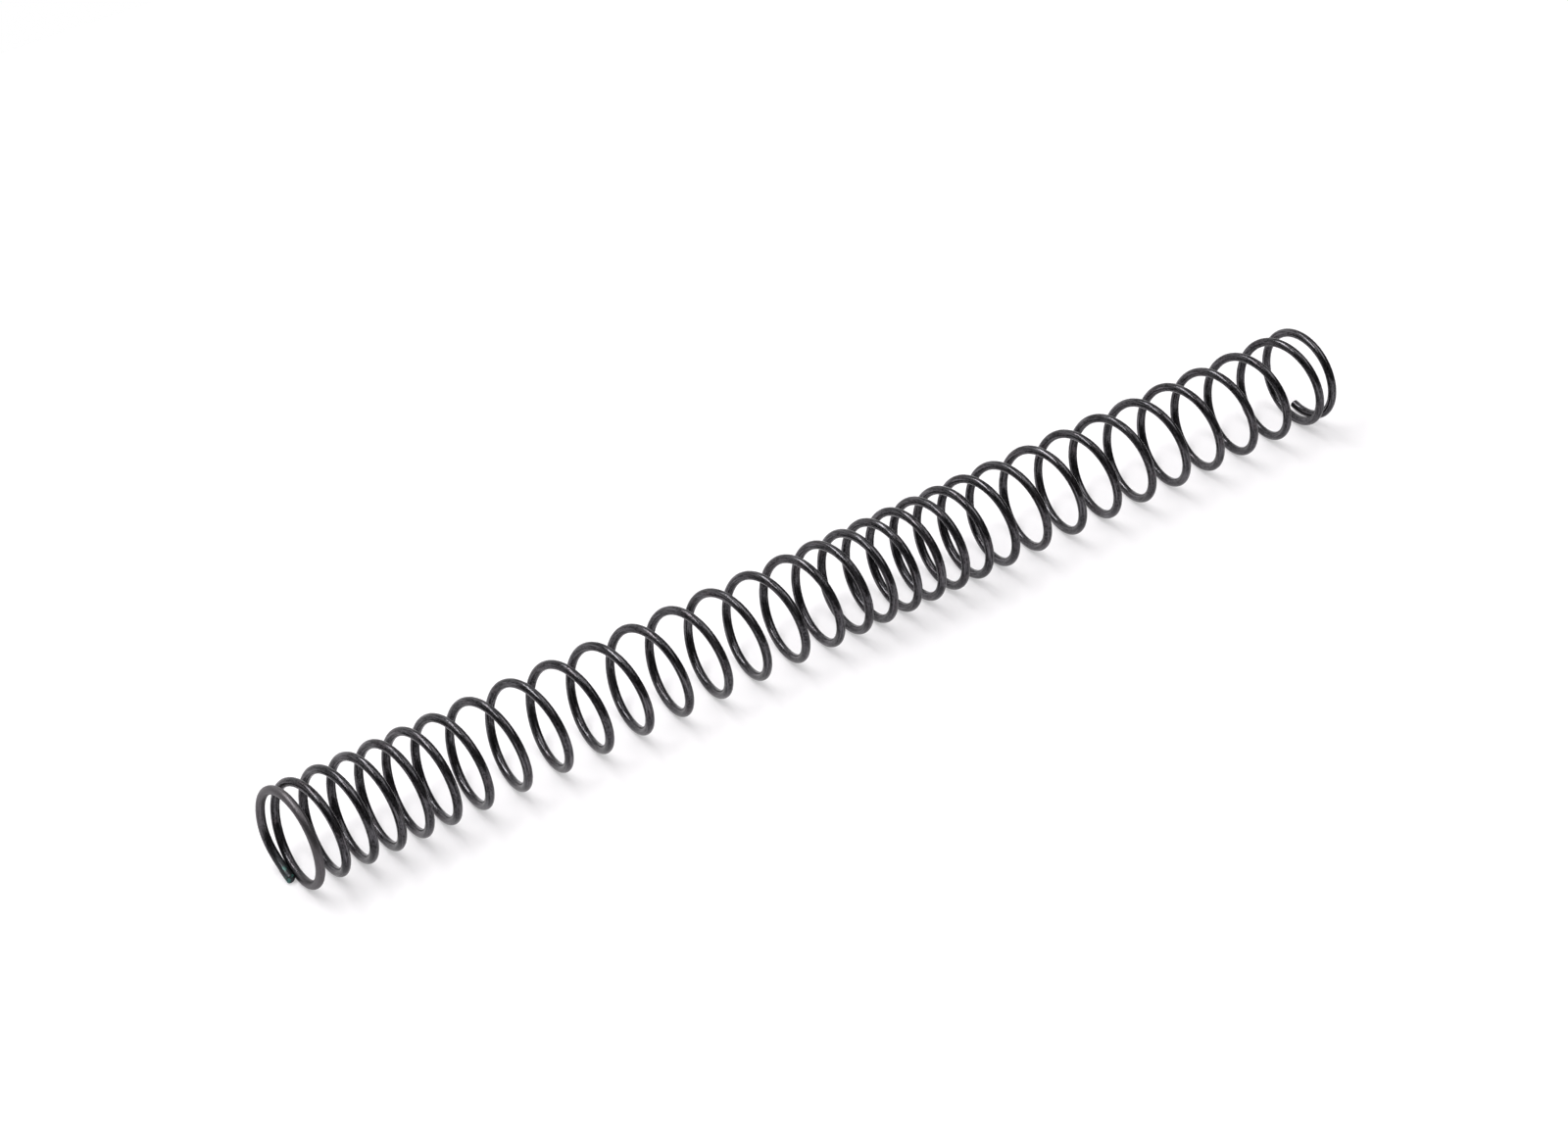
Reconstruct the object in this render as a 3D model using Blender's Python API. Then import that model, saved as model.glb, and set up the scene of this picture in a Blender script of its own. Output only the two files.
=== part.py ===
"""Helical compression spring of round wire, lying on its side.

The spring is one length of wire, coiled right-handed. Its first and last turns are closed up to
the turn beside them, and between the ends two pitches take turns: fine, wide, fine, wide.

Units are metres. X runs along the spring from the near end to the far end, Z is up, and the
origin is under the middle of the spring, on the surface that it lies on.
"""

import math

import bmesh
import bpy

MM = 0.001

# Wire and coil
WIRE_DIAMETER = 1.00 * MM
COIL_DIAMETER = 10.75 * MM       # from wire centre to wire centre
TIP_GAP = 0.15 * MM              # clear space between a cut tip and the turn beside it

# Pitches of the open turns
FINE_PITCH = 3.39 * MM
WIDE_PITCH = 5.21 * MM

# How many turns each stretch has, from the near tip to the far tip
NEAR_CLOSED_TURNS = 0.87
FIRST_FINE_TURNS = 5.8
FIRST_WIDE_TURNS = 9.2
MIDDLE_FINE_TURNS = 7.0
LAST_WIDE_TURNS = 9.1
FAR_CLOSED_TURNS = 1.07

# How many turns a change of pitch is spread over
OPEN_BLEND_TURNS = 3.0
CLOSING_BLEND_TURNS = 0.75

# Where the near tip is, round the spring's axis from +Y towards +Z
NEAR_TIP_ANGLE = math.radians(270)
UNDERSIDE_ANGLE = math.radians(270)

# Facets of the mesh
FACETS_PER_TURN = 20
WIRE_SIDES = 8

# Sizes that follow from the ones above
COIL_RADIUS = COIL_DIAMETER / 2
WIRE_RADIUS = WIRE_DIAMETER / 2
OUTER_RADIUS = COIL_RADIUS + WIRE_RADIUS
FACET_ANGLE = math.tau / FACETS_PER_TURN
SIDE_ANGLE = math.tau / WIRE_SIDES


def clear_scene():
    """Remove every object that the scene holds."""
    for item in list(bpy.data.objects):
        bpy.data.objects.remove(item, do_unlink=True)


def eased_step(position):
    """A step from 0 to 1 that starts and ends level: 3k^2 - 2k^3."""
    k = min(max(position, 0.0), 1.0)
    return k * k * (3 - 2 * k)


def eased_step_area(position):
    """The area under eased_step up to a position: k^3 - k^4/2, then one more for each 1."""
    k = min(max(position, 0.0), 1.0)
    return k ** 3 - k ** 4 / 2 + max(position - 1.0, 0.0)


def closed_pitch(closed_turns, open_pitch):
    """The pitch of an end turn whose tip clears the turn beside it by TIP_GAP.

    One turn in from the tip, the wire has moved on by its own diameter and the gap. A share of
    that turn already has the open pitch, because the change of pitch is spread out.
    """
    start = -closed_turns / CLOSING_BLEND_TURNS + 0.5
    end = (1 - closed_turns) / CLOSING_BLEND_TURNS + 0.5
    open_share = CLOSING_BLEND_TURNS * (eased_step_area(end) - eased_step_area(start))
    return (WIRE_DIAMETER + TIP_GAP - open_pitch * open_share) / (1 - open_share)


def pitch_changes():
    """The near end's pitch, and each change as (turn it is centred on, turns it takes, step)."""
    near_pitch = closed_pitch(NEAR_CLOSED_TURNS, FINE_PITCH)
    far_pitch = closed_pitch(FAR_CLOSED_TURNS, WIDE_PITCH)
    stretches = [
        (NEAR_CLOSED_TURNS, CLOSING_BLEND_TURNS, FINE_PITCH),
        (FIRST_FINE_TURNS, OPEN_BLEND_TURNS, WIDE_PITCH),
        (FIRST_WIDE_TURNS, OPEN_BLEND_TURNS, FINE_PITCH),
        (MIDDLE_FINE_TURNS, OPEN_BLEND_TURNS, WIDE_PITCH),
        (LAST_WIDE_TURNS, CLOSING_BLEND_TURNS, far_pitch),
    ]
    changes = []
    centre = 0.0
    pitch = near_pitch
    for turns, blend, next_pitch in stretches:
        centre += turns
        changes.append((centre, blend, next_pitch - pitch))
        pitch = next_pitch
    return near_pitch, changes, centre + FAR_CLOSED_TURNS


def pitch_at(turn, near_pitch, changes):
    """The pitch at a turn, counted from the near tip."""
    steps = [step * eased_step((turn - centre) / blend + 0.5) for centre, blend, step in changes]
    return near_pitch + sum(steps)


def advance_at(turn, near_pitch, changes):
    """How far along X the wire's centre has moved at a turn: the area under the pitch."""
    steps = [step * blend * eased_step_area((turn - centre) / blend + 0.5)
             for centre, blend, step in changes]
    return near_pitch * turn + sum(steps)


def ring_angles(total_turns):
    """Angles of the wire's sections: the two tips, and the facet edges between them.

    The facet edges lie evenly to both sides of the underside, so each turn has a facet that is
    flat on the surface below.
    """
    last_angle = NEAR_TIP_ANGLE + total_turns * math.tau
    first_edge = UNDERSIDE_ANGLE + FACET_ANGLE / 2
    steps_back = math.floor((first_edge - NEAR_TIP_ANGLE) / FACET_ANGLE)
    edge = first_edge - steps_back * FACET_ANGLE
    angles = [NEAR_TIP_ANGLE]
    while edge < last_angle - FACET_ANGLE / 10:
        if edge > NEAR_TIP_ANGLE + FACET_ANGLE / 10:
            angles.append(edge)
        edge += FACET_ANGLE
    angles.append(last_angle)
    return angles


def wire_section(angle, turn, near_pitch, changes):
    """The cut that a plane through the spring's axis makes in the wire, as a ring of points.

    The wire crosses that plane at its lead angle, so the cut is longer along X. The facets touch
    the true round form at their middles, so their edges are a little further out.
    """
    from_middle = (angle - UNDERSIDE_ANGLE + FACET_ANGLE / 2) % FACET_ANGLE - FACET_ANGLE / 2
    spread = 1 / math.cos(from_middle)
    corner_radius = WIRE_RADIUS / math.cos(SIDE_ANGLE / 2)
    lead = math.atan2(pitch_at(turn, near_pitch, changes), math.tau * COIL_RADIUS)
    centre_x = advance_at(turn, near_pitch, changes)
    ring = []
    for side in range(WIRE_SIDES):
        corner = (side + 0.5) * SIDE_ANGLE
        distance = (COIL_RADIUS + corner_radius * math.cos(corner)) * spread
        x = centre_x + corner_radius * math.sin(corner) / math.cos(lead)
        ring.append((x, distance * math.cos(angle), distance * math.sin(angle)))
    return ring


def wire_sections():
    """All the wire's sections, tip to tip, centred over the origin and resting on Z = 0."""
    near_pitch, changes, total_turns = pitch_changes()
    rings = []
    for angle in ring_angles(total_turns):
        turn = (angle - NEAR_TIP_ANGLE) / math.tau
        rings.append(wire_section(angle, turn, near_pitch, changes))
    all_x = [point[0] for ring in rings for point in ring]
    middle_x = (min(all_x) + max(all_x)) / 2
    return [[(x - middle_x, y, z + OUTER_RADIUS) for x, y, z in ring] for ring in rings]


def skin_rings(mesh, rings):
    """Join each ring of points to the next with quads, and close both tips with flat cuts."""
    bm = bmesh.new()
    loops = [[bm.verts.new(point) for point in ring] for ring in rings]
    for loop, next_loop in zip(loops, loops[1:]):
        for side in range(WIRE_SIDES):
            beside = (side + 1) % WIRE_SIDES
            bm.faces.new((loop[side], loop[beside], next_loop[beside], next_loop[side]))
    bm.faces.new(loops[0])
    bm.faces.new(loops[-1])
    bmesh.ops.recalc_face_normals(bm, faces=bm.faces)
    bm.to_mesh(mesh)
    bm.free()


def wire_material():
    """Blackened spring wire: nearly black with a violet tinge, satin and partly metallic."""
    material = bpy.data.materials.new("black_wire")
    material.use_nodes = True
    shader = material.node_tree.nodes["Principled BSDF"]
    shader.inputs["Base Color"].default_value = (0.020, 0.019, 0.021, 1.0)
    shader.inputs["Roughness"].default_value = 0.42
    shader.inputs["Metallic"].default_value = 0.75
    return material


def make_spring():
    """The coiled wire, from its near tip to its far tip."""
    mesh = bpy.data.meshes.new("coil_spring")
    skin_rings(mesh, wire_sections())
    mesh.shade_smooth()
    mesh.set_sharp_from_angle(angle=math.radians(60))
    mesh.materials.append(wire_material())
    spring = bpy.data.objects.new("coil_spring", mesh)
    bpy.context.scene.collection.objects.link(spring)
    return spring


def main():
    clear_scene()
    make_spring()


main()
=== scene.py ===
# %% [markdown]
# # A long compression spring of blackened wire
#
# The object is one length of round spring wire. It is coiled right-handed, its first and last
# turns are closed up to the turn beside them, and two pitches take turns between the ends. It
# lies on its side on a white surface.
#
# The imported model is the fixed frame. It gives the spring's place and size as a coil with few
# facets, and everything below is worked out to sit exactly where that coil sits.

# %% Load the frame
import math

import bpy
import numpy as np
from mathutils import Matrix, Vector


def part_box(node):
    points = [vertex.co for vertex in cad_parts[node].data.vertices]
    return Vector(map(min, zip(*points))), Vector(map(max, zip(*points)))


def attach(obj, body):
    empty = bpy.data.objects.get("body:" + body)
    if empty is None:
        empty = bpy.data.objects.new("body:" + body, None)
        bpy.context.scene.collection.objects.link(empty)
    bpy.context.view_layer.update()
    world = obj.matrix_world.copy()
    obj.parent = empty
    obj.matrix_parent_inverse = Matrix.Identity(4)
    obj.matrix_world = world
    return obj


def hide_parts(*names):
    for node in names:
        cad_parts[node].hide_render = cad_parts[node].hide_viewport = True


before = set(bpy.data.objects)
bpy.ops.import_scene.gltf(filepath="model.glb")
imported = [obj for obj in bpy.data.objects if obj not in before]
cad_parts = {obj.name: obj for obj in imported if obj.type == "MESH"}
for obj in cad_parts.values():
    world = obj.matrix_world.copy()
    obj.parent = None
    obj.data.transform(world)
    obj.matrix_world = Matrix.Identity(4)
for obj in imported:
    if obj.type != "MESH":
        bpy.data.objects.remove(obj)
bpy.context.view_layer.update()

# %% [markdown]
# ## The sizes that describe a spring
#
# A spring maker orders a spring by its wire, its coil diameter, its pitches and the number of
# turns at each. Those few numbers are repeated here from the solid model, in metres. A change of
# pitch isn't sudden: the coiling machine eases from one to the other over a few turns.

# %% The spring's own sizes
MM = 0.001
WIRE_RADIUS = 0.50 * MM
COIL_RADIUS = 5.375 * MM
TIP_GAP = 0.15 * MM
FINE_PITCH = 3.39 * MM
WIDE_PITCH = 5.21 * MM
NEAR_CLOSED_TURNS = 0.87
FAR_CLOSED_TURNS = 1.07
OPEN_STRETCHES = ((5.8, FINE_PITCH), (9.2, WIDE_PITCH), (7.0, FINE_PITCH), (9.1, WIDE_PITCH))
OPEN_BLEND_TURNS = 3.0
CLOSING_BLEND_TURNS = 0.75
NEAR_TIP_ANGLE = math.radians(270)
TOTAL_TURNS = NEAR_CLOSED_TURNS + sum(turns for turns, pitch in OPEN_STRETCHES) + FAR_CLOSED_TURNS
AXIS_HEIGHT = COIL_RADIUS + WIRE_RADIUS
print("turns:", round(TOTAL_TURNS, 2), " outer diameter, in mm:", 2 * AXIS_HEIGHT / MM)

# %% [markdown]
# ## How far the wire has moved on, turn by turn
#
# A helix with one pitch needs no more than a multiplication. This one changes pitch, so the place
# along X is the area under the pitch. Each change is an eased step, 3k^2 - 2k^3, and the area
# under that step is k^3 - k^4/2, so the whole sum has a plain formula and needs no integration.

# %% The pitch and the advance along the axis
def eased_step(position):
    """3k^2 - 2k^3, where k is the position held between 0 and 1."""
    k = np.clip(position, 0.0, 1.0)
    return k * k * (3 - 2 * k)


def eased_step_area(position):
    """k^3 - k^4/2 up to k = 1, and one more for each 1 past it."""
    k = np.clip(position, 0.0, 1.0)
    return k ** 3 - k ** 4 / 2 + np.maximum(np.asarray(position) - 1.0, 0.0)


def closed_pitch(closed_turns, open_pitch):
    """The end pitch that leaves TIP_GAP between the cut tip and the turn beside it."""
    start = -closed_turns / CLOSING_BLEND_TURNS + 0.5
    end = (1 - closed_turns) / CLOSING_BLEND_TURNS + 0.5
    open_share = CLOSING_BLEND_TURNS * (eased_step_area(end) - eased_step_area(start))
    return (2 * WIRE_RADIUS + TIP_GAP - open_pitch * open_share) / (1 - open_share)


near_pitch = closed_pitch(NEAR_CLOSED_TURNS, OPEN_STRETCHES[0][1])
far_pitch = closed_pitch(FAR_CLOSED_TURNS, OPEN_STRETCHES[-1][1])
change_turns = np.cumsum([NEAR_CLOSED_TURNS] + [turns for turns, pitch in OPEN_STRETCHES])
pitches = np.array([near_pitch] + [pitch for turns, pitch in OPEN_STRETCHES] + [far_pitch])
pitch_steps = np.diff(pitches)
blends = np.array([CLOSING_BLEND_TURNS] + [OPEN_BLEND_TURNS] * 3 + [CLOSING_BLEND_TURNS])


def pitch_at(turn):
    """The near pitch, plus each eased step of pitch that the wire has passed."""
    passed = (turn[:, None] - change_turns) / blends + 0.5
    return near_pitch + (pitch_steps * eased_step(passed)).sum(axis=1)


def advance_at(turn):
    """The area under pitch_at: near pitch times turns, plus the area under each eased step."""
    passed = (turn[:, None] - change_turns) / blends + 0.5
    return near_pitch * turn + (pitch_steps * blends * eased_step_area(passed)).sum(axis=1)


tips_x = advance_at(np.array([0.0, TOTAL_TURNS]))
print("pitch at the two tips, in mm:", np.round(pitch_at(np.array([0.0, TOTAL_TURNS])) / MM, 2))

# %% [markdown]
# ## Where the coil sits in the frame
#
# The solid model is centred on its own box, so the helix is shifted along X until its box is
# centred too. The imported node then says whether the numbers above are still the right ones.

# %% Centre the coil and compare it with the frame
def tip_reach(pitch):
    """Half the wire's extent along X where it crosses the axis's plane at its lead angle."""
    lead = math.atan2(pitch, math.tau * COIL_RADIUS)
    return WIRE_RADIUS / math.cos(lead)


coil_low = tips_x[0] - tip_reach(near_pitch)
coil_high = tips_x[1] + tip_reach(far_pitch)
shift_x = -(coil_low + coil_high) / 2
node_low, node_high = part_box("coil_spring")
print("length worked out:", round((coil_high - coil_low) / MM, 2),
      "mm, length of the node:", round((node_high[0] - node_low[0]) / MM, 2), "mm")

# %% [markdown]
# ## How the two tips lie
#
# No coiling machine leaves both tips exactly where the drawing has them. Here the near tip leans
# in until it all but touches the turn beside it. The far tip stands off a little and curls in
# towards the axis, so that a thin line of light shows beside it. These are small moves that ease in
# over part of the last turn. The lean stops short where the wires would meet, which makes it the
# smaller of two values at each place.

# %% Lean the near tip, and stand the far tip off and curl it in
NEAR_LEAN = 0.27 * MM
NEAR_LEAN_TURNS = (0.04, 0.20)
FAR_STAND_OFF = 0.27 * MM
FAR_CURL = 0.27 * MM
FAR_TIP_TURNS = (0.05, 0.40)
TOUCH_GAP = 0.02 * MM


def eased_off(turns_from_tip, stretch):
    """1 up to the start of a stretch of turns, eased down to 0 at its end."""
    start, end = stretch
    return eased_step((end - turns_from_tip) / (end - start))


def tip_moves(turn):
    """The move along X at each turn: inwards at the near tip, outwards at the far tip."""
    room = advance_at(turn + 1) - advance_at(turn) - 2 * WIRE_RADIUS - TOUCH_GAP
    lean = np.minimum(NEAR_LEAN * eased_off(turn, NEAR_LEAN_TURNS), np.maximum(room, 0))
    stand_off = FAR_STAND_OFF * eased_off(TOTAL_TURNS - turn, FAR_TIP_TURNS)
    return lean + stand_off


def coil_radius_at(turn):
    """The coil's radius, less the curl that eases in towards the far tip."""
    return COIL_RADIUS - FAR_CURL * eased_off(TOTAL_TURNS - turn, FAR_TIP_TURNS)


both_tips = np.array([0.0, TOTAL_TURNS])
print("move of the near and the far tip along X, in mm:", np.round(tip_moves(both_tips) / MM, 2),
      " coil radius there:", np.round(coil_radius_at(both_tips) / MM, 2))

# %% [markdown]
# ## The wire's surface
#
# The surface is a function of two parameters: how far along the wire, in turns, and how far round
# its section. At each place along the wire there are three directions: forward along it, outward
# from the spring's axis, and the one square to both. A circle in the last two, carried forward,
# sweeps out the wire. The radius may change along the way, and that is how the tips are made: over
# the last few hundredths of a millimetre it shrinks along a quarter circle, as the edge of a
# sheared wire does.

# %% Carry a circle along the helix
ROWS_PER_TURN = 96
SECTION_POINTS = 24
EDGE_ROUND = 0.07 * MM
EDGE_ROWS = 4
TURN_LENGTH = math.tau * COIL_RADIUS


def rows_along():
    """Turns and radii of the rows: full radius between the tips, a quarter circle at each.

    At a tip the row goes outward by EDGE_ROUND sin(a), and the radius shrinks by
    EDGE_ROUND (1 - cos(a)), with a from 0 to a right angle.
    """
    inset = EDGE_ROUND / TURN_LENGTH
    turns = np.linspace(inset, TOTAL_TURNS - inset, int(ROWS_PER_TURN * TOTAL_TURNS))
    bend = np.linspace(0, math.pi / 2, EDGE_ROWS + 1)[1:]
    outward = inset * np.sin(bend)
    rounded = WIRE_RADIUS - EDGE_ROUND * (1 - np.cos(bend))
    all_turns = np.concatenate([(inset - outward)[::-1], turns, turns[-1] + outward])
    radii = np.concatenate([rounded[::-1], np.full(len(turns), WIRE_RADIUS), rounded])
    return all_turns, radii


def wire_directions(turn):
    """The wire's centre, and its outward and sideways directions, at each turn.

    The centre is (advance, r cos a, r sin a). Forward is the plain helix's rate of change, outward
    is (0, cos a, sin a), and sideways is forward x outward.
    """
    angle = NEAR_TIP_ANGLE + math.tau * turn
    zero = np.zeros_like(turn)
    outward = np.stack([zero, np.cos(angle), np.sin(angle)], axis=1)
    round_axis = np.stack([zero, -np.sin(angle), np.cos(angle)], axis=1)
    centre = coil_radius_at(turn)[:, None] * outward
    centre[:, 0] = advance_at(turn) + tip_moves(turn) + shift_x
    centre[:, 2] += AXIS_HEIGHT
    forward = TURN_LENGTH * round_axis
    forward[:, 0] = pitch_at(turn)
    forward /= np.linalg.norm(forward, axis=1, keepdims=True)
    return centre, outward, np.cross(forward, outward)


turns_along, radii_along = rows_along()
centre, outward, sideways = wire_directions(turns_along)
round_angle = np.arange(SECTION_POINTS) / SECTION_POINTS * math.tau
section = (np.cos(round_angle)[None, :, None] * outward[:, None, :]
           + np.sin(round_angle)[None, :, None] * sideways[:, None, :])
surface = centre[:, None, :] + radii_along[:, None, None] * section
steps = np.linalg.norm(np.diff(centre, axis=0), axis=1)
distance_along = np.concatenate([[0.0], np.cumsum(steps)])
print("rows and points round:", surface.shape[:2],
      " length of wire, in mm:", round(distance_along[-1] / MM, 1))

# %% [markdown]
# ## From the grid to a closed mesh
#
# Each square of the grid becomes a quad, and the last column joins the first, so no seam is left
# open. Each tip is closed with a fan of triangles round one point in the middle of the cut. A face
# points to the side from which its corners run anticlockwise. The sum of the volumes between each
# triangle and the origin is above zero only if they all point outward, so it is a good test.

# %% Join the grid into a mesh
def grid_quads(rows, columns):
    """Vertex numbers of the quads of a grid that closes on itself from column to column.

    The order of the corners is here, beside, next row beside, next row here. It runs round the
    section first and then forward, and that turns the face outward.
    """
    row = np.arange(rows - 1)[:, None] * columns
    here = np.arange(columns)[None, :]
    beside = (here + 1) % columns
    return np.stack([row + here, row + beside, row + columns + beside, row + columns + here],
                    axis=-1).reshape(-1, 4)


def tip_fan(first, middle, columns, near):
    """Triangles from a ring of vertices, numbered from first, to the vertex in the middle."""
    here = np.arange(columns) + first
    beside = (np.arange(columns) + 1) % columns + first
    hub = np.full(columns, middle)
    return np.stack([beside, here, hub] if near else [here, beside, hub], axis=-1)


def mesh_from_arrays(name, points, quads, triangles):
    """A mesh from whole arrays of points, quads and triangles."""
    mesh = bpy.data.meshes.new(name)
    corners = np.concatenate([quads.ravel(), triangles.ravel()])
    sizes = np.concatenate([np.full(len(quads), 4), np.full(len(triangles), 3)])
    starts = np.concatenate([[0], np.cumsum(sizes)[:-1]])
    mesh.vertices.add(len(points))
    mesh.vertices.foreach_set("co", points.astype(np.float32).ravel())
    mesh.loops.add(len(corners))
    mesh.loops.foreach_set("vertex_index", corners.astype(np.int32))
    mesh.polygons.add(len(sizes))
    mesh.polygons.foreach_set("loop_start", starts.astype(np.int32))
    mesh.update(calc_edges=True)
    mesh.validate()
    return mesh


row_count, column_count = surface.shape[:2]
ring_points = surface.reshape(-1, 3)
tip_middles = centre[[0, -1]]
points = np.concatenate([ring_points, tip_middles])
quads = grid_quads(row_count, column_count)
last_ring = (row_count - 1) * column_count
fans = np.concatenate([tip_fan(0, len(ring_points), column_count, True),
                       tip_fan(last_ring, len(ring_points) + 1, column_count, False)])
wire_mesh = mesh_from_arrays("spring_wire", points, quads, fans)
print("points:", len(points), " triangles:", 2 * len(quads) + len(fans))

triangles = np.concatenate([quads[:, [0, 1, 2]], quads[:, [0, 2, 3]], fans])
first, second, third = (points[triangles[:, corner]] for corner in range(3))
volume = (first * np.cross(second, third)).sum() / 6
print("volume, in cubic mm (above 0 where the faces point outward):", round(volume / MM ** 3, 1))

# %% [markdown]
# ## A straight bar's coordinates on a coiled wire
#
# Wire is drawn through a die long before it is coiled, so its scratches and stains run along it.
# A pattern in plain object coordinates would cut across the turns. So each point also keeps the
# place that it would have on the straight wire: two coordinates across the section and one along
# the length. Noise in those coordinates follows the coil and has no seam.

# %% Attributes that the finish reads
bar_across = radii_along[:, None] * np.cos(round_angle)[None, :]
bar_up = radii_along[:, None] * np.sin(round_angle)[None, :]
bar_along = np.broadcast_to(distance_along[:, None], bar_across.shape)
bar_points = np.stack([bar_across, bar_up, bar_along], axis=-1).reshape(-1, 3)
bar_tips = np.array([[0, 0, distance_along[0]], [0, 0, distance_along[-1]]])
straight = wire_mesh.attributes.new("straight_wire", "FLOAT_VECTOR", "POINT")
straight.data.foreach_set(
    "vector", (np.concatenate([bar_points, bar_tips]) / MM).astype(np.float32).ravel())
print("straight-wire coordinates run to", round(distance_along[-1] / MM, 1), "mm")

# %% [markdown]
# ## The mark of paint on the near tip
#
# A little blue-green paint marks one end of the spring. It was dabbed on the last five millimetres
# of the wire, and most of it has worn off: patches are left beside the tip, and a dull dark trace
# reaches further. So the attribute is no more than a depth of paint that falls from 1 at the tip to
# 0 where the mark ends, and the material makes both the patches and the trace from it later.

# %% Where the paint is
PAINTED_LENGTH = 5.0 * MM


def keep_by_row(name, numbers):
    """Keep a number for each row of the grid on all of that row's points, as an attribute."""
    by_point = np.concatenate([np.repeat(numbers, SECTION_POINTS), numbers[[0, -1]]])
    attribute = wire_mesh.attributes.new(name, "FLOAT", "POINT")
    attribute.data.foreach_set("value", by_point.astype(np.float32))
    print("points where", name, "is above 0:", int((by_point > 0).sum()))


keep_by_row("paint", np.clip(1 - distance_along / PAINTED_LENGTH, 0, 1))

# %% [markdown]
# ## The end turn that is matt and painted lighter
#
# The first turn is the one that bears on whatever the spring pushes against. Its film is rubbed
# matt, and its colour is painted lighter than the rest as a painted reflection of the light room on
# the left, which only the end turn sees. A second attribute says where. It rises behind the painted
# tip, stays at 1 round most of the turn, and falls back to 0 as the next turn starts. The
# difference of two eased steps does both.

# %% Where the film is matt and painted lighter
# Over these turns the film is rougher, and its colour is painted lighter as a painted reflection.
MATT_AND_PAINTED_LIGHT_START_TURNS = (0.10, 0.38)
MATT_AND_PAINTED_LIGHT_END_TURNS = (0.92, 1.06)
before_matt_and_painted_light = eased_off(turns_along, MATT_AND_PAINTED_LIGHT_START_TURNS)
up_to_its_end = eased_off(turns_along, MATT_AND_PAINTED_LIGHT_END_TURNS)
keep_by_row("matt_and_painted_light", up_to_its_end - before_matt_and_painted_light)

# %% [markdown]
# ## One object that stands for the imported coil
#
# The mesh becomes an object at the origin, unturned, because its place is already in its points.
# It rides on the spring's one body and takes the place of the coil with few facets, which stays in
# the model for its collisions. Smooth shading hides the grid, and an angle limit would keep any
# real edge crisp.

# %% Make the spring an object that rides in the frame
SHARP_ANGLE = math.radians(40)
wire_mesh.shade_smooth()
wire_mesh.set_sharp_from_angle(angle=SHARP_ANGLE)
spring = bpy.data.objects.new("spring_wire", wire_mesh)
bpy.context.scene.collection.objects.link(spring)
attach(spring, "root")
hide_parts("coil_spring")
print("object:", spring.name, " faces:", len(wire_mesh.polygons))

# %% [markdown]
# ## A material with an empty tree
#
# A finish is a tree of nodes: patterns feed colours, and colours feed the shader. It can be wired
# by hand in the editor. In a script, a helper that makes a node together with its settings keeps
# each line short. The wire has one shader, and everything below feeds it.

# %% Start the wire's material
def new_material(name):
    """An empty node material, and its tree."""
    material = bpy.data.materials.new(name)
    material.use_nodes = True
    material.node_tree.nodes.clear()
    return material, material.node_tree


def node(tree, kind, **settings):
    """A node of one kind, with some of its own settings and input values."""
    made = tree.nodes.new(kind)
    for key, value in settings.items():
        if key in made.inputs:
            made.inputs[key].default_value = value
        else:
            setattr(made, key, value)
    return made


wire_finish, wire_tree = new_material("blackened_wire")
wire_output = node(wire_tree, "ShaderNodeOutputMaterial")
shader = node(wire_tree, "ShaderNodeBsdfPrincipled")
wire_tree.links.new(shader.outputs["BSDF"], wire_output.inputs["Surface"])
print("nodes to start with:", [made.name for made in wire_tree.nodes])

# %% [markdown]
# ## Patterns that follow the wire
#
# The black film isn't even. It has fine draw lines along the wire, blotches of about a millimetre,
# small dark spots, and a tinge that comes and goes. An image could hold all that, but it would
# need an unwrap and would show a seam. Noise in the straight wire's coordinates needs neither.
# Those are in millimetres, and each pattern multiplies them by its own scale: a large number makes
# it fine in that direction, and a small one along the wire draws it out into lines. A minus sign
# mirrors a pattern, so that it doesn't repeat another one of much the same scale.

# %% Noise in the straight wire's coordinates
DRAW_LINE_SCALE = (6.5, 6.5, 0.35)
BLOTCH_SCALE = (1.3, 1.3, 0.8)
TINGE_SCALE = (-1.0, 0.9, -0.6)
SPOT_SCALE = (5.5, 5.5, 4.0)
GRAIN_SCALE = (12.0, 12.0, 6.0)
NOISE_ROUGHNESS = 0.55


def feed(tree, socket, value):
    """Give a socket another node's output, or a plain value."""
    if isinstance(value, bpy.types.NodeSocket):
        tree.links.new(value, socket)
    else:
        socket.default_value = value


def stretched_noise(tree, vector, scale, detail=3.0):
    """Noise in coordinates that are first multiplied by a scale along each direction."""
    mapping = node(tree, "ShaderNodeMapping", Scale=scale)
    feed(tree, mapping.inputs["Vector"], vector)
    noise = node(tree, "ShaderNodeTexNoise", Scale=1.0, Detail=detail, Roughness=NOISE_ROUGHNESS)
    feed(tree, noise.inputs["Vector"], mapping.outputs["Vector"])
    return noise.outputs["Fac"]


wire_place = node(wire_tree, "ShaderNodeAttribute", attribute_name="straight_wire")
straight_wire = wire_place.outputs["Vector"]
draw_lines = stretched_noise(wire_tree, straight_wire, DRAW_LINE_SCALE, detail=4.0)
blotches = stretched_noise(wire_tree, straight_wire, BLOTCH_SCALE)
tinge = stretched_noise(wire_tree, straight_wire, TINGE_SCALE, detail=2.0)
spots = stretched_noise(wire_tree, straight_wire, SPOT_SCALE)
grain = stretched_noise(wire_tree, straight_wire, GRAIN_SCALE, detail=2.0)
print("patterns:", sum(made.type == "TEX_NOISE" for made in wire_tree.nodes))
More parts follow.
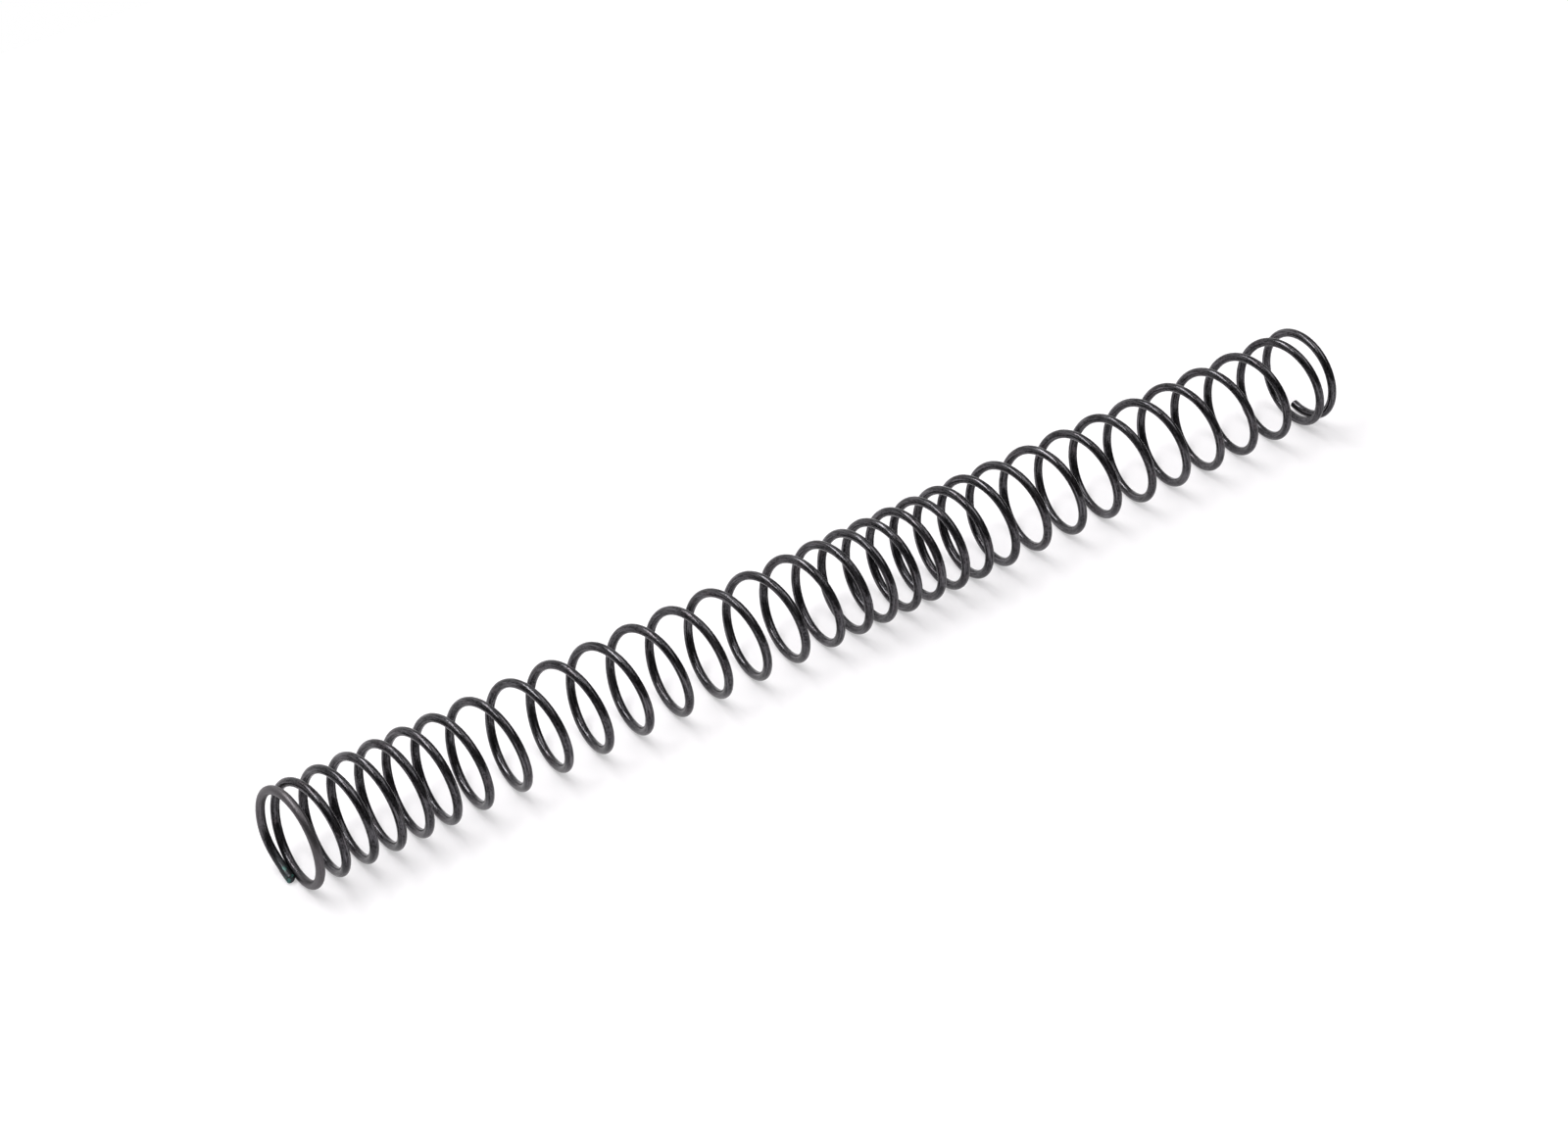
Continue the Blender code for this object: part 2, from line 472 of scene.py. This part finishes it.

# %% [markdown]
# ## The colours of the black film
#
# Spring wire is blackened in a hot bath of salts. The film is near black with a violet tinge,
# lighter where it is thin, and the crests of the draw lines are rubbed towards bare steel. So the
# layers are mixed in that order: two tones of film, a browner tinge, dark spots, the rubbed lines,
# and last the matt end turn, painted lighter as a painted reflection, and the dull trace of the
# paint. On a metal the colour says how much of the light comes back as a mirror image, which is
# why these are lighter than the wire looks. Each layer comes in over a range of its pattern and
# reaches a share at most. So one helper stretches a pattern to another range, and one mixes by a
# factor. With them the film reads as a list of layers.

# %% Mix the film
THICK_FILM = (0.0435, 0.0420, 0.0460, 1)
THIN_FILM = (0.0675, 0.0652, 0.0712, 1)
BROWN_TINGE = (0.0682, 0.0572, 0.0632, 1)
DARK_SPOT = (0.0080, 0.0078, 0.0087, 1)
RUBBED_STEEL = (0.1420, 0.1375, 0.1480, 1)
# The end turn's colour, painted lighter as a painted reflection of the light room on the left.
MATT_FILM_PAINTED_LIGHTER = (0.1080, 0.1000, 0.1050, 1)
PAINT_TRACE = (0.0300, 0.0330, 0.0350, 1)
THIN_RANGE = (0.40, 0.60)
BROWN_RANGE, BROWN_SHARE = (0.52, 0.68), 0.70
SPOT_RANGE, SPOT_SHARE = (0.41, 0.55), 0.88
RUBBED_RANGE, RUBBED_SHARE = (0.50, 0.65), 0.80
PAINTED_LIGHT_SHARE = 0.70
TRACE_RANGE, TRACE_SHARE = (0.0, 0.5), 0.75


def ranged(tree, value, low, high, to_low=0.0, to_high=1.0):
    """to_low + (to_high - to_low) (value - low) / (high - low), held between its ends."""
    stretch = node(tree, "ShaderNodeMapRange")
    for key, number in zip(("From Min", "From Max", "To Min", "To Max"),
                           (low, high, to_low, to_high)):
        stretch.inputs[key].default_value = number
    feed(tree, stretch.inputs["Value"], value)
    return stretch.outputs["Result"]


def mixed(tree, kind, factor, first, second):
    """first (1 - factor) + second factor, for two colours or two numbers."""
    mix = node(tree, "ShaderNodeMix", data_type=kind)
    feed(tree, mix.inputs["Factor"], factor)
    feed(tree, mix.inputs["A"], first)
    feed(tree, mix.inputs["B"], second)
    return mix.outputs["Result"]


is_thin = ranged(wire_tree, blotches, *THIN_RANGE)
is_brown = ranged(wire_tree, tinge, *BROWN_RANGE, 0.0, BROWN_SHARE)
is_spot = ranged(wire_tree, spots, *SPOT_RANGE, SPOT_SHARE, 0.0)
is_rubbed = ranged(wire_tree, draw_lines, *RUBBED_RANGE, 0.0, RUBBED_SHARE)
# The end turn's mask makes its film rougher and carries the painted light in its colour.
is_matt_and_painted_light = node(wire_tree, "ShaderNodeAttribute", attribute_name="matt_and_painted_light").outputs["Fac"]
paint_left = node(wire_tree, "ShaderNodeAttribute", attribute_name="paint").outputs["Fac"]
painted_light_share = ranged(wire_tree, is_matt_and_painted_light, 0.0, 1.0, 0.0, PAINTED_LIGHT_SHARE)
is_traced = ranged(wire_tree, paint_left, *TRACE_RANGE, 0.0, TRACE_SHARE)
film = mixed(wire_tree, "RGBA", is_thin, THICK_FILM, THIN_FILM)
film = mixed(wire_tree, "RGBA", is_brown, film, BROWN_TINGE)
film = mixed(wire_tree, "RGBA", is_spot, film, DARK_SPOT)
film = mixed(wire_tree, "RGBA", is_rubbed, film, RUBBED_STEEL)
# Painted light: the end turn is mixed towards a lighter colour than the rest of the film.
film = mixed(wire_tree, "RGBA", painted_light_share, film, MATT_FILM_PAINTED_LIGHTER)
film = mixed(wire_tree, "RGBA", is_traced, film, PAINT_TRACE)
print("layers of colour:", sum(made.type == "MIX" for made in wire_tree.nodes))

# %% [markdown]
# ## Paint that has worn into patches
#
# The paint still shows its colour where its depth and a patch of noise are both high, so the two
# are multiplied into one mask. It could be a second material on some faces, but then its edge would
# follow the grid. A mask lets it wear off in its own shapes.

# %% Worn paint over the film
PAINT_COLOUR = (0.0220, 0.1200, 0.1020, 1)
PATCH_SCALE = (1.5, -1.5, 1.0)
PATCH_RANGE = (0.50, 0.57)
DEEP_ENOUGH = (0.64, 0.75)


def calculated(tree, operation, first, second):
    """One number worked out from two, by an operation such as MULTIPLY."""
    maths = node(tree, "ShaderNodeMath", operation=operation)
    feed(tree, maths.inputs[0], first)
    feed(tree, maths.inputs[1], second)
    return maths.outputs["Value"]


paint_patches = stretched_noise(wire_tree, straight_wire, PATCH_SCALE)
is_painted = calculated(wire_tree, "MULTIPLY", ranged(wire_tree, paint_left, *DEEP_ENOUGH),
                        ranged(wire_tree, paint_patches, *PATCH_RANGE))
feed(wire_tree, shader.inputs["Base Color"],
     mixed(wire_tree, "RGBA", is_painted, film, PAINT_COLOUR))
print("the base colour comes from:", shader.inputs["Base Color"].links[0].from_node.name)

# %% [markdown]
# ## How the wire shines
#
# Black oxide on steel behaves like a dim metal: it mirrors a lamp as a soft streak and scatters
# very little. Its roughness follows the blotches. Where it is seen at a glancing angle it turns
# brighter, as every metal does, and that rim lights the undersides of the turns. The specular tint
# takes a little off it. The end turn and the painted tip are rougher, and paint is no metal, so its
# mask also takes the metallic value down to 0. The draw lines and a fine grain tip the surface a
# little, as a bump of a fiftieth of a millimetre.

# %% Roughness, metal and bump
FILM_METALLIC = 0.88
FILM_IOR = 1.55
RIM_TINT = (0.85, 0.85, 0.85, 1)
BLOTCH_RANGE, FILM_ROUGHNESS = (0.3, 0.7), (0.15, 0.26)
MATT_ROUGHNESS = 0.42
PAINT_ROUGHNESS = 0.45
BUMP_STRENGTH = 0.35
BUMP_DEPTH = 0.02 * MM
roughness = ranged(wire_tree, blotches, *BLOTCH_RANGE, *FILM_ROUGHNESS)
roughness = mixed(wire_tree, "FLOAT", is_matt_and_painted_light, roughness, MATT_ROUGHNESS)
roughness = mixed(wire_tree, "FLOAT", is_traced, roughness, PAINT_ROUGHNESS)
roughness = mixed(wire_tree, "FLOAT", is_painted, roughness, PAINT_ROUGHNESS)
feed(wire_tree, shader.inputs["Roughness"], roughness)
feed(wire_tree, shader.inputs["Metallic"],
     ranged(wire_tree, is_painted, 0.0, 1.0, FILM_METALLIC, 0.0))
shader.inputs["IOR"].default_value = FILM_IOR
shader.inputs["Specular Tint"].default_value = RIM_TINT

bump = node(wire_tree, "ShaderNodeBump", Strength=BUMP_STRENGTH, Distance=BUMP_DEPTH)
feed(wire_tree, bump.inputs["Height"], calculated(wire_tree, "ADD", grain, draw_lines))
feed(wire_tree, shader.inputs["Normal"], bump.outputs["Normal"])
spring.data.materials.append(wire_finish)
print("nodes in the finish:", len(wire_tree.nodes))

# %% [markdown]
# ## The white surface
#
# The spring lies on white paper, which is plain white apart from the spring's shadow. One square in
# the plane z = 0 is enough. Lamps that are strong enough to turn paper pure white would also wash
# out the wire. So part of the paper glows at a strength of 1, which is white, and only for rays
# that come from the camera or from something shiny. The rest is a pale diffuse surface that takes
# the lamps at a plain level, and the shadow shows because it dims that share.

# %% Paper that is white to the camera
PAPER_SIZE = 0.34
PAPER_COLOUR = (0.96, 0.938, 0.961, 1)
GLOW_COLOUR = (1.0, 0.992, 1.0, 1)
GLOW_SHARE = 0.40
half = PAPER_SIZE / 2
paper_mesh = bpy.data.meshes.new("floor")
paper_mesh.from_pydata([(-half, -half, 0), (half, -half, 0), (half, half, 0), (-half, half, 0)],
                       [], [(0, 1, 2, 3)])
floor = bpy.data.objects.new("floor", paper_mesh)
bpy.context.scene.collection.objects.link(floor)

paper, paper_tree = new_material("white_paper")
paper_output = node(paper_tree, "ShaderNodeOutputMaterial")
diffuse = node(paper_tree, "ShaderNodeBsdfDiffuse", Color=PAPER_COLOUR)
glow = node(paper_tree, "ShaderNodeEmission", Color=GLOW_COLOUR, Strength=1.0)
paper_rays = node(paper_tree, "ShaderNodeLightPath").outputs
is_seen = calculated(paper_tree, "MAXIMUM", paper_rays["Is Camera Ray"],
                     paper_rays["Is Glossy Ray"])
paper_mix = node(paper_tree, "ShaderNodeMixShader")
feed(paper_tree, paper_mix.inputs["Fac"],
     calculated(paper_tree, "MULTIPLY", is_seen, GLOW_SHARE))
feed(paper_tree, paper_mix.inputs[1], diffuse.outputs["BSDF"])
feed(paper_tree, paper_mix.inputs[2], glow.outputs["Emission"])
feed(paper_tree, paper_output.inputs["Surface"], paper_mix.outputs["Shader"])
paper_mesh.materials.append(paper)
print("paper, in mm:", round(PAPER_SIZE / MM), "square")

# %% [markdown]
# ## Two soft lamps
#
# The streak on each turn is the mirror image of a lamp, so its place on the round wire gives the
# lamp's direction. A narrow box behind the spring, to the left, makes the sharp streak, and the
# shadow that falls to the front. A wide box overhead makes the broad dim band beside the streak
# and fills the shadow. Each lamp is turned by three directions that are square to each other: its
# long side, its short side and its back, which points away from the spring.

# %% Lamps
def soft_box(name, direction, distance, long_side, short_side, power, long_towards):
    """A rectangular lamp that faces the spring, with its long side along a given direction."""
    light = bpy.data.lights.new(name, "AREA")
    light.shape = "RECTANGLE"
    light.size = long_side
    light.size_y = short_side
    light.energy = power
    lamp = bpy.data.objects.new(name, light)
    back = Vector(direction).normalized()
    along = Vector(long_towards)
    along = (along - back * along.dot(back)).normalized()
    across = back.cross(along)
    placing = Matrix((along, across, back)).transposed().to_4x4()
    placing.translation = back * distance + Vector((0, 0, AXIS_HEIGHT))
    lamp.matrix_world = placing
    bpy.context.scene.collection.objects.link(lamp)
    print(name, "stands at, in m:", [round(number, 2) for number in placing.translation])


soft_box("strip_lamp", direction=(-0.335, 0.355, 0.87), distance=0.55,
         long_side=0.59, short_side=0.157, power=2.85, long_towards=(0.7, 0.7, 0.0))
soft_box("overhead_lamp", direction=(0.272, -0.207, 0.94), distance=1.40,
         long_side=1.30, short_side=1.15, power=9.2, long_towards=(0.796, -0.605, 0.0))

# %% [markdown]
# ## The room around it
#
# A shiny wire also mirrors the room. It is light behind the spring and dark on the camera's side,
# and that gives each turn the dark band below its streak. So the world gets brighter from front to
# back, by the direction of a ray along +Y. Only the camera sees the world as plain white.

# %% The room
FRONT_STRENGTH = 0.11
BACK_STRENGTH = 1.0
GRADED_RANGE = (0.0, 0.9)
world = bpy.data.worlds.new("room")
world.use_nodes = True
bpy.context.scene.world = world
room_tree = world.node_tree
room_tree.nodes.clear()
world_output = node(room_tree, "ShaderNodeOutputWorld")
ray_direction = node(room_tree, "ShaderNodeTexCoord").outputs["Generated"]
towards_back = node(room_tree, "ShaderNodeVectorMath", operation="DOT_PRODUCT")
feed(room_tree, towards_back.inputs[0], ray_direction)
feed(room_tree, towards_back.inputs[1], (0.0, 1.0, 0.0))
room = node(room_tree, "ShaderNodeBackground", Color=(1, 1, 1, 1))
feed(room_tree, room.inputs["Strength"],
     ranged(room_tree, towards_back.outputs["Value"], *GRADED_RANGE,
            FRONT_STRENGTH, BACK_STRENGTH))
backdrop = node(room_tree, "ShaderNodeBackground", Color=(1, 1, 1, 1), Strength=1.0)
room_rays = node(room_tree, "ShaderNodeLightPath").outputs
room_mix = node(room_tree, "ShaderNodeMixShader")
feed(room_tree, room_mix.inputs["Fac"], room_rays["Is Camera Ray"])
feed(room_tree, room_mix.inputs[1], room.outputs["Background"])
feed(room_tree, room_mix.inputs[2], backdrop.outputs["Background"])
feed(room_tree, world_output.inputs["Surface"], room_mix.outputs["Shader"])
bpy.context.scene.view_settings.view_transform = "Standard"
print("the room's strength, front and back:", FRONT_STRENGTH, BACK_STRENGTH)

# %% [markdown]
# ## The camera
#
# Five numbers place a camera: the point that it aims at, how far its sight is turned from +Y, how
# high it looks down from, how far away it is, and its lens. They were fitted so that all the turns
# fall where they do in the picture. The lens is long, so the perspective is weak. The two angles
# give the direction of sight, and to_track_quat turns the camera's own -Z along it with +Y up.

# %% Camera
CAMERA_AIM = Vector((-0.95, 7.49, 5.875)) * MM
CAMERA_HEADING = math.radians(37.237)
CAMERA_ELEVATION = math.radians(36.413)
CAMERA_DISTANCE = 464.94 * MM
CLIP_START = 10 * MM
SENSOR_WIDTH = 36.0
FOCAL_LENGTH = 96.245
sight = Vector((math.sin(CAMERA_HEADING) * math.cos(CAMERA_ELEVATION),
                math.cos(CAMERA_HEADING) * math.cos(CAMERA_ELEVATION),
                -math.sin(CAMERA_ELEVATION)))
camera_data = bpy.data.cameras.new("camera")
camera_data.sensor_width = SENSOR_WIDTH
camera_data.lens = FOCAL_LENGTH
camera_data.clip_start = CLIP_START
camera = bpy.data.objects.new("camera", camera_data)
camera.location = CAMERA_AIM - sight * CAMERA_DISTANCE
camera.rotation_euler = sight.to_track_quat("-Z", "Y").to_euler()
bpy.context.scene.collection.objects.link(camera)
bpy.context.scene.camera = camera
print("camera stands at, in mm:", [round(number / MM) for number in camera.location])
